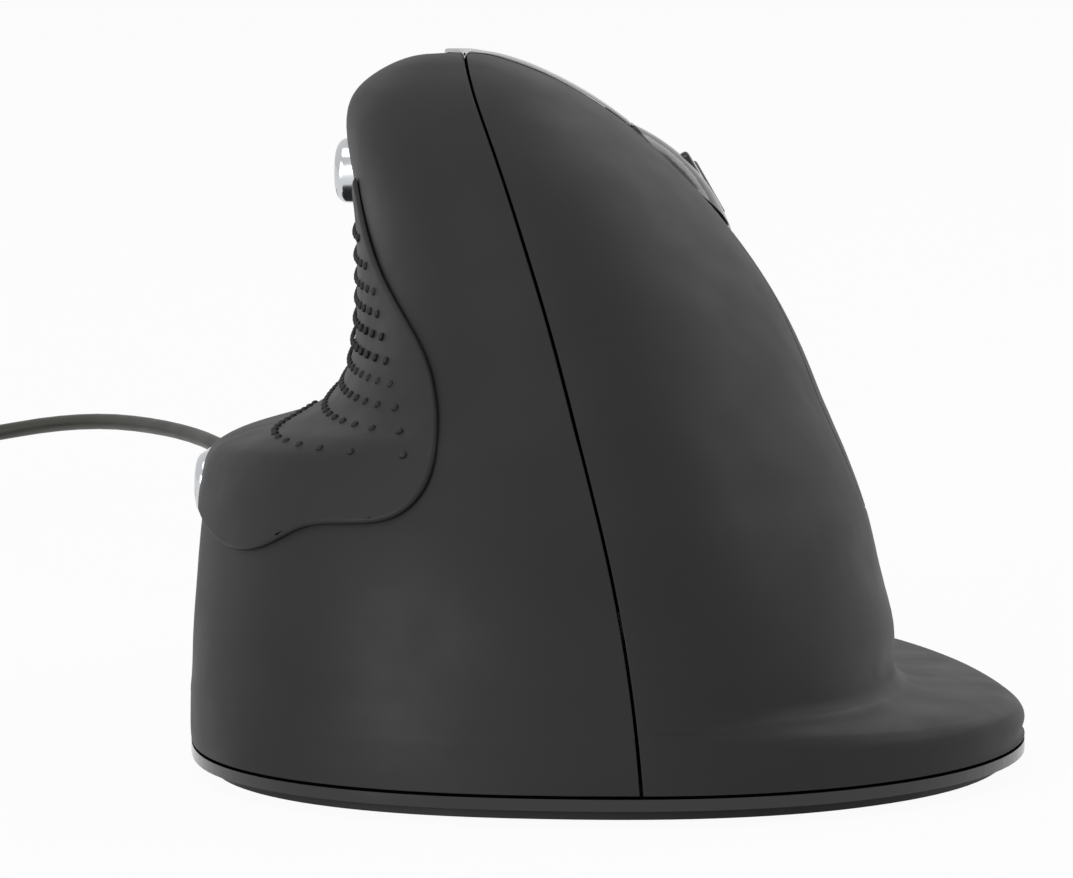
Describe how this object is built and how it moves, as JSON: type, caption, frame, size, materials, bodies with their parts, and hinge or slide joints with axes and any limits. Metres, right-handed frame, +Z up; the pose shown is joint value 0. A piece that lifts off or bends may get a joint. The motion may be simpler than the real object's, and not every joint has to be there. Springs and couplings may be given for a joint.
{
  "type": "upright ergonomic computer mouse",
  "caption": "Right-handed upright mouse: curved palm shell, thumb shelf with plated keys, finger buttons and a ribbed wheel on a slanted side, with a coiled cable.",
  "frame": {"origin": "on the desk under the middle of the mouse's own box, cable left out", "axes": "+Z up, +Y towards the nose where the cable leaves, +X towards the user's right"},
  "size_m": [0.1668, 0.2284, 0.0713],
  "materials": {
    "shell": "satin, soft-touch",
    "pad": "matt moulded grip with raised dots",
    "gloss": "glossy",
    "trim": "silver-grey gloss",
    "plated": "plated, bright",
    "board": "green laminate",
    "switch": "moulded",
    "plunger": "moulded",
    "tyre": "ribbed",
    "hub": "moulded",
    "steel": "machined",
    "glide": "slippery, pale",
    "lens": "clear",
    "led": "clear red",
    "cord": "matt sheath",
    "lead": "insulated",
    "frame": "moulded",
    "strap": "woven"
  },
  "bodies": {
    "case": {"base_band": "gloss", "base_plate": "shell", "base_screw_front_left": "steel", "base_screw_front_right": "steel", "base_screw_rear_left": "steel", "base_screw_rear_right": "steel", "cable_coil": "cord", "cable_free": "cord", "cable_tail": "cord", "cable_tie": "strap", "console_cover": "gloss", "controller_chip": "switch", "finger_frame": "frame", "finger_lead": "lead", "finger_pcb": "board", "glide_front_left": "glide", "glide_front_right": "glide", "glide_rear_left": "glide", "glide_rear_right": "glide", "index_switch": "switch", "main_pcb": "board", "middle_switch": "switch", "palm_shell": "shell", "pcb_screw_front": "steel", "pcb_screw_rear": "steel", "sensor_chip": "switch", "sensor_led": "led", "sensor_lens": "lens", "speed_switch": "switch", "strain_relief": "cord", "thumb_lead_lower": "lead", "thumb_lead_upper": "lead", "thumb_pad": "pad", "thumb_pcb_lower": "board", "thumb_pcb_upper": "board", "thumb_shell": "shell", "thumb_switch_lower": "switch", "thumb_switch_upper": "switch", "top_trim": "trim", "usb_plug_core": "switch", "usb_plug_grip": "cord", "usb_plug_shell": "plated", "wheel_encoder": "switch", "wheel_spring": "steel", "wheel_switch": "switch"},
    "index_key": {"index_button": "shell"},
    "index_click": {"index_plunger": "plunger"},
    "middle_key": {"middle_button": "shell"},
    "middle_click": {"middle_plunger": "plunger"},
    "upper_key": {"thumb_button_upper": "plated"},
    "upper_click": {"thumb_stem_upper": "plunger"},
    "lower_key": {"thumb_button_lower": "plated"},
    "lower_click": {"thumb_stem_lower": "plunger"},
    "speed_key": {"speed_button": "gloss"},
    "speed_click": {"speed_switch_stem": "plunger"},
    "carrier": {"wheel_carrier": "frame"},
    "carrier_click": {"wheel_switch_stem": "plunger"},
    "wheel": {"wheel_hub": "hub", "wheel_tyre": "tyre", "wheel_axle": "steel"}
  },
  "joints": [
    {"name": "index_press", "type": "hinge", "parent": "case", "child": "index_key", "pos_m": [-0.00758, 0.00718, 0.06102], "axis": [-0.4891, 0.2079, 0.8471], "range_deg": [0, 1.5], "stiffness_Nm_per_rad": 2},
    {"name": "middle_press", "type": "hinge", "parent": "case", "child": "middle_key", "pos_m": [0.01162, -0.00926, 0.03836], "axis": [-0.4891, 0.2079, 0.8471], "range_deg": [0, 0.8], "stiffness_Nm_per_rad": 6},
    {"name": "index_plunge", "type": "slide", "parent": "case", "child": "index_click", "axis": [-0.866, 0, -0.5], "range_m": [0, 0.000275]},
    {"name": "middle_plunge", "type": "slide", "parent": "case", "child": "middle_click", "axis": [-0.866, 0, -0.5], "range_m": [0, 0.000405]},
    {"name": "upper_press", "type": "slide", "parent": "case", "child": "upper_key", "axis": [0.9848, -0.1736, 0], "range_m": [0, 0.0006], "stiffness_N_per_m": 800},
    {"name": "upper_stem", "type": "slide", "parent": "case", "child": "upper_click", "axis": [0.9848, -0.1736, 0], "range_m": [0, 0.00025]},
    {"name": "lower_press", "type": "slide", "parent": "case", "child": "lower_key", "axis": [0.9945, -0.1045, 0], "range_m": [0, 0.0006], "stiffness_N_per_m": 800},
    {"name": "lower_stem", "type": "slide", "parent": "case", "child": "lower_click", "axis": [0.9945, -0.1045, 0], "range_m": [0, 0.00025]},
    {"name": "speed_press", "type": "slide", "parent": "case", "child": "speed_key", "axis": [-0.866, 0, -0.5], "range_m": [0, 0.0004], "stiffness_N_per_m": 800},
    {"name": "speed_stem", "type": "slide", "parent": "case", "child": "speed_click", "axis": [-0.866, 0, -0.5], "range_m": [0, 0.00025]},
    {"name": "wheel_press", "type": "slide", "parent": "case", "child": "carrier", "axis": [-0.866, 0, -0.5], "range_m": [0, 0.0005], "stiffness_N_per_m": 1500, "deforming": ["wheel_spring"]},
    {"name": "wheel_stem", "type": "slide", "parent": "case", "child": "carrier_click", "axis": [-0.866, 0, -0.5], "range_m": [0, 0.00025]},
    {"name": "wheel_turn", "type": "hinge", "parent": "carrier", "child": "wheel", "pos_m": [0.00275, 0.02348, 0.04999], "axis": [-0.4891, 0.2079, 0.8471], "continuous": true}
  ],
  "couplings": [
    {"joint": "index_plunge", "follows": "index_press", "m_per_rad": 0.0105},
    {"joint": "middle_plunge", "follows": "middle_press", "m_per_rad": 0.029},
    {"joint": "upper_stem", "follows": "upper_press", "ratio": 0.41667},
    {"joint": "lower_stem", "follows": "lower_press", "ratio": 0.41667},
    {"joint": "speed_stem", "follows": "speed_press", "ratio": 0.625},
    {"joint": "wheel_stem", "follows": "wheel_press", "ratio": 0.5}
  ]
}
